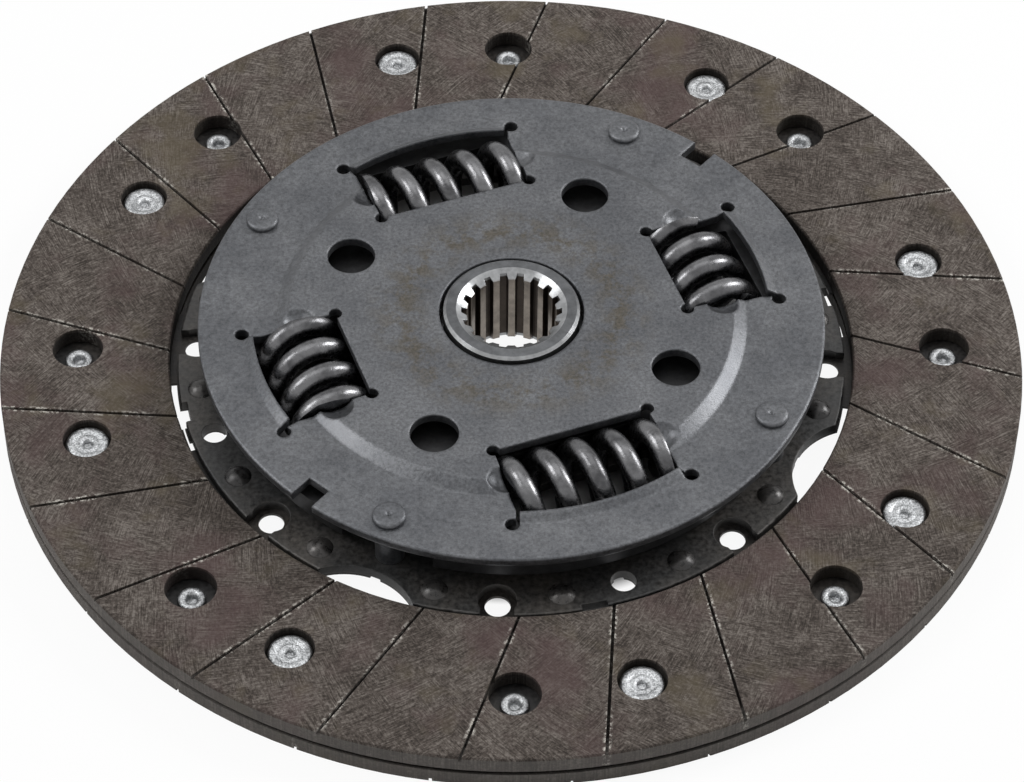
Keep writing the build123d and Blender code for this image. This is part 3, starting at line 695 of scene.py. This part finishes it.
# Outline over the drive plate's inner face in millimetres, from the punch mark outwards and down
pin_outline = [
    (0.22, 11.15),
    (0.42, 11.35),
    (0.56, 11.62),
    (0.8, 11.7),
    (2.7, 11.7),
    (3.0, 11.62),
    (3.16, 11.4),
    (3.2, 10.7),
    (2.0, 10.7),
    (2.0, 8.7),
    (2.8, 8.7),
    (2.8, 0.0),
    (2.0, 0.0),
    (2.0, -2.0),
    (3.1, -2.0),
    (3.2, -2.25),
    (3.1, -2.66),
    (2.75, -2.88),
    (1.2, -2.9),
]
pin = turned_piece("pin", pin_outline, pin_sides)
pin_places = []
for angle in pin_angles:
    turn = Matrix.Rotation(radians(angle), 4, "Z")
    pin_places.append(turn @ Matrix.Translation((pin_circle_r, 0, pin_low_face_z)))
stop_pins = copies_at(pin, pin_places, "stop_pins_riveted")
stop_pins.data.materials.append(cover_steel)
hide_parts("stop_pins")
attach(stop_pins, "driven_plate")
bpy.data.objects.remove(pin)


# Floor, light and camera: a white sheet with a painted shadow in a ring under the spring cage, two large
# soft lamps at the sides with a faint one overhead, and the photograph's view.

floor_white = (0.86, 0.86, 0.86, 1)
floor_size = 8.0
shown_white_share = 0.93
painted_cage_shadow_outer_r = 55 * mm
painted_cage_shadow_inner_r = 12 * mm
painted_shadow_fade = 3 * mm
floor_drop = 0.02 * mm


def floor_material():
    """White floor with the object's shadow; in a ring under the spring cage its glow is switched off, a
    painted shadow, so only the lamps' shade shows there.
    """
    material, shader = new_material("white floor", 0.9, 0.0)
    shader.inputs["Base Color"].default_value = floor_white
    rays = put(material, "ShaderNodeLightPath")
    seen = math(material, "ADD", rays.outputs["Is Camera Ray"], rays.outputs["Is Glossy Ray"])
    seen = math(material, "ADD", seen, rays.outputs["Is Transmission Ray"], clamp=True)
    place = put(material, "ShaderNodeTexCoord").outputs["Object"]
    radius, angle, height = radius_and_angle(material, place)
    # Painted shadow: the white glow is switched off in a ring under the spring cage, so only the lamps'
    # shade shows there
    outside = between(material, radius, painted_cage_shadow_outer_r, painted_cage_shadow_outer_r + painted_shadow_fade)
    bore_end = painted_cage_shadow_inner_r + painted_shadow_fade
    in_bore = between(material, radius, painted_cage_shadow_inner_r, bore_end, 1.0, 0.0)
    glow_beyond_painted_shadow = math(material, "MAXIMUM", outside, in_bore)
    share = math(material, "MULTIPLY", math(material, "MULTIPLY", seen, glow_beyond_painted_shadow), shown_white_share)
    glow = put(material, "ShaderNodeEmission", {"Color": (1, 1, 1, 1), "Strength": 1.0})
    mixed = put(material, "ShaderNodeMixShader", {0: share, 1: shader.outputs[0], 2: glow.outputs[0]})
    output = material.node_tree.nodes["Material Output"]
    material.node_tree.links.new(mixed.outputs[0], output.inputs["Surface"])
    return material


bpy.ops.object.select_all(action="DESELECT")
bpy.ops.mesh.primitive_plane_add(size=floor_size, location=(0, 0, -floor_drop))
white_sheet = bpy.context.object
white_sheet.name = "floor"
white_sheet.data.materials.append(floor_material())

world = bpy.data.worlds.new("studio")
bpy.context.scene.world = world
world.use_nodes = True
sky = world.node_tree.nodes["Background"]
sky.inputs["Color"].default_value = (1, 1, 1, 1)
ambient_strength = 0.25
rays = world.node_tree.nodes.new("ShaderNodeLightPath")
camera_or_glossy = world.node_tree.nodes.new("ShaderNodeMath")
camera_or_glossy.operation = "ADD"
seen = world.node_tree.nodes.new("ShaderNodeMath")
seen.operation = "ADD"
seen.use_clamp = True
world.node_tree.links.new(rays.outputs["Is Camera Ray"], camera_or_glossy.inputs[0])
world.node_tree.links.new(rays.outputs["Is Glossy Ray"], camera_or_glossy.inputs[1])
world.node_tree.links.new(camera_or_glossy.outputs[0], seen.inputs[0])
world.node_tree.links.new(rays.outputs["Is Transmission Ray"], seen.inputs[1])
level = world.node_tree.nodes.new("ShaderNodeMapRange")
level.inputs["To Min"].default_value = ambient_strength
level.inputs["To Max"].default_value = 1.0
world.node_tree.links.new(seen.outputs[0], level.inputs["Value"])
world.node_tree.links.new(level.outputs[0], sky.inputs["Strength"])


def softbox(name, towards, distance, size, power):
    """A square soft lamp, seen from the disc in one direction and aimed at it."""
    place = Vector(towards).normalized() * distance
    bpy.ops.object.light_add(type="AREA", location=place)
    lamp = bpy.context.object
    lamp.name = name
    lamp.data.size = size
    lamp.data.energy = power
    lamp.rotation_euler = (-place).to_track_quat("-Z", "Y").to_euler()


softbox("right lamp", (0.75, 0.35, 0.56), 1.0, 0.38, 6.5)
softbox("left lamp", (-0.68, 0.03, 0.72), 1.0, 0.42, 4.0)
softbox("overhead lamp", (0.0, 0.25, 1.0), 1.3, 0.9, 3.0)

view_distance = 776.6 * mm
view_elevation = radians(48.43)
view_target = Vector((0.2 * mm, -4.3 * mm, 0))
view_roll = radians(0.475)
lens_length = 138.55
bpy.ops.object.camera_add()
camera = bpy.context.object
camera.name = "photo_camera"
camera.data.lens = lens_length
camera.data.sensor_width = 36.0
camera.data.clip_start = 0.05
camera.data.clip_end = 20.0
back = Vector((0, -cos(view_elevation), sin(view_elevation)))
camera.location = view_target + back * view_distance
camera.rotation_mode = "QUATERNION"
aim = (-back).to_track_quat("-Z", "Y")
camera.rotation_quaternion = aim @ Quaternion((0, 0, 1), view_roll)
bpy.context.scene.camera = camera
bpy.context.scene.view_settings.view_transform = "Standard"
